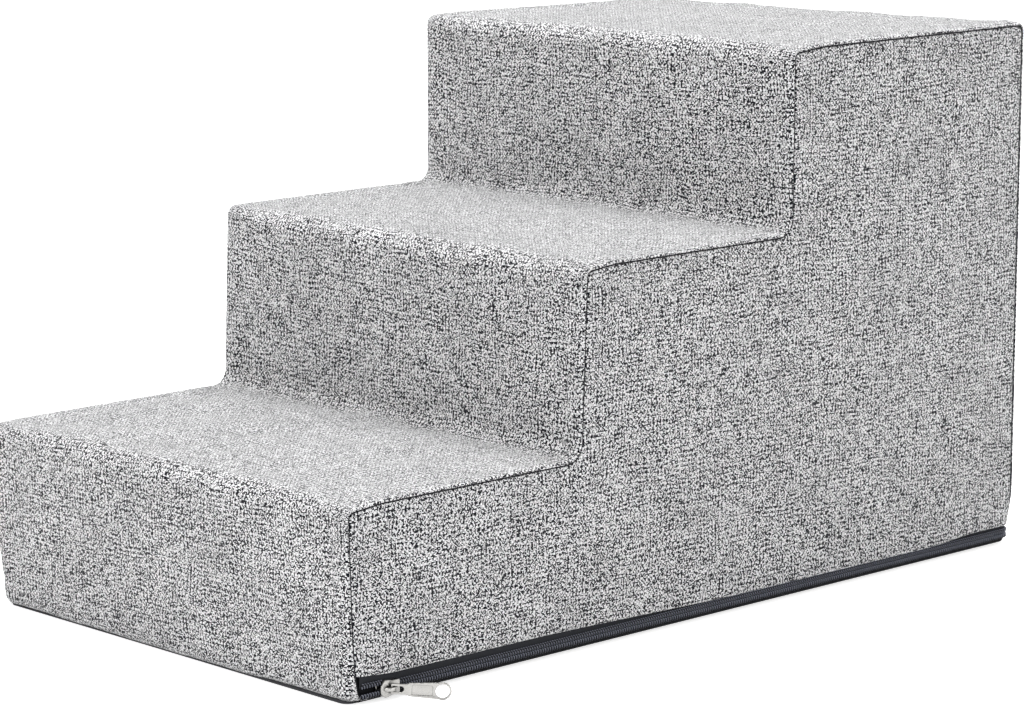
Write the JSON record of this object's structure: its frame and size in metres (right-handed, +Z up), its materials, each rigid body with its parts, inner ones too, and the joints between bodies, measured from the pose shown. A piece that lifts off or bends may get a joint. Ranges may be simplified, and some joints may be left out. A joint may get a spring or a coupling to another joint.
{
  "type": "pet stair",
  "caption": "Soft foam pet stair with solid stepped sides, in a removable woven fabric cover that a long zip closes round its foot.",
  "frame": {"origin": "on the floor, under the middle of the stair's base cloth", "axes": "+X from the front of the lowest step to the rear of the highest, +Z up, and the zip's slider is parked on the -Y side near the front"},
  "size_m": [0.5727, 0.3504, 0.338],
  "materials": {
    "foam": "matte",
    "linen_cloth": "matte",
    "base_cloth": "matte",
    "zip_tape": "matte",
    "zip_coil": "satin",
    "nickel_plate": "satin"
  },
  "bodies": {
    "stair": {"foam_lower_slab": "foam", "foam_middle_slab": "foam", "foam_upper_slab": "foam", "cover_tread_band": "linen_cloth", "cover_side_panel_right": "linen_cloth", "cover_side_panel_left": "linen_cloth", "cover_base_panel": "base_cloth", "zip_tape_upper": "zip_tape", "zip_tape_lower": "zip_tape", "zip_coil_upper": "zip_coil", "zip_coil_lower": "zip_coil"},
    "zip_slider": {"zip_slider_body": "nickel_plate"},
    "pull_tab": {"zip_pull_tab": "nickel_plate"}
  },
  "joints": [
    {"name": "zip_slide", "type": "slide", "parent": "stair", "child": "zip_slider", "axis": [1, 0, 0], "range_m": [0, 0.515], "deforming": ["zip_coil_upper", "zip_coil_lower"]},
    {"name": "pull_tab_hinge", "type": "hinge", "parent": "zip_slider", "child": "pull_tab", "pos_m": [-0.256, -0.16565, 0.0074], "axis": [0, 0, 1], "range_deg": [-137, 37]}
  ]
}
